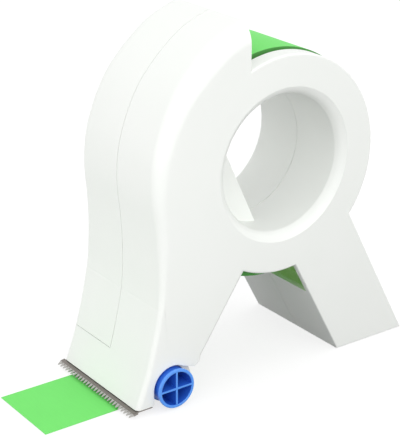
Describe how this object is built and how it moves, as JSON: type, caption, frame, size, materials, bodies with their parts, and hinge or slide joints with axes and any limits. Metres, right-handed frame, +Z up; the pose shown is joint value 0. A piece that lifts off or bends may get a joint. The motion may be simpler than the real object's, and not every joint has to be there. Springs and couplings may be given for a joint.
{
  "type": "masking tape applicator",
  "caption": "Hand-held masking tape applicator: hollow plastic body with a finger hole, roll of tape on a hub, pressing roller and toothed cutting blade.",
  "frame": {"origin": "on the floor, below the middle of the whole length and width", "axes": "+Z up; the nose and the tape's free end point along -X; the body's left side, which carries the nose, faces -Y"},
  "size_m": [0.189, 0.0656, 0.1618],
  "materials": {
    "body_plastic": "satin moulded",
    "roller_plastic": "smooth moulded",
    "bearing_plastic": "satin moulded",
    "blade_steel": "ground, serrated",
    "screw_steel": "zinc plated",
    "spring_steel": "rolled",
    "core_board": "wound cardboard",
    "green_tape": "fine crepe paper"
  },
  "bodies": {
    "body": {"left_shell": "body_plastic", "roller_bearing_left": "bearing_plastic", "roller_bearing_right": "bearing_plastic", "cutting_blade": "blade_steel", "blade_screw_left": "screw_steel", "blade_screw_middle": "screw_steel", "blade_screw_right": "screw_steel", "drag_spring_front": "spring_steel", "drag_spring_rear": "spring_steel", "tape_lead": "green_tape"},
    "cover": {"right_shell": "body_plastic"},
    "roll": {"tape_core": "core_board", "tape_roll": "green_tape"},
    "roller": {"press_roller": "roller_plastic"}
  },
  "joints": [
    {"name": "cover_slide", "type": "slide", "parent": "body", "child": "cover", "axis": [0, 1, 0], "range_m": [0, 0.045]},
    {"name": "roll_spin", "type": "hinge", "parent": "body", "child": "roll", "pos_m": [0.0209, 0, 0.0948], "axis": [0, -1, 0], "continuous": true},
    {"name": "roller_spin", "type": "hinge", "parent": "body", "child": "roller", "pos_m": [-0.0379, 0, 0.0096], "axis": [0, -1, 0], "continuous": true}
  ],
  "couplings": [
    {"joint": "roller_spin", "follows": "roll_spin", "ratio": -5.7222}
  ]
}
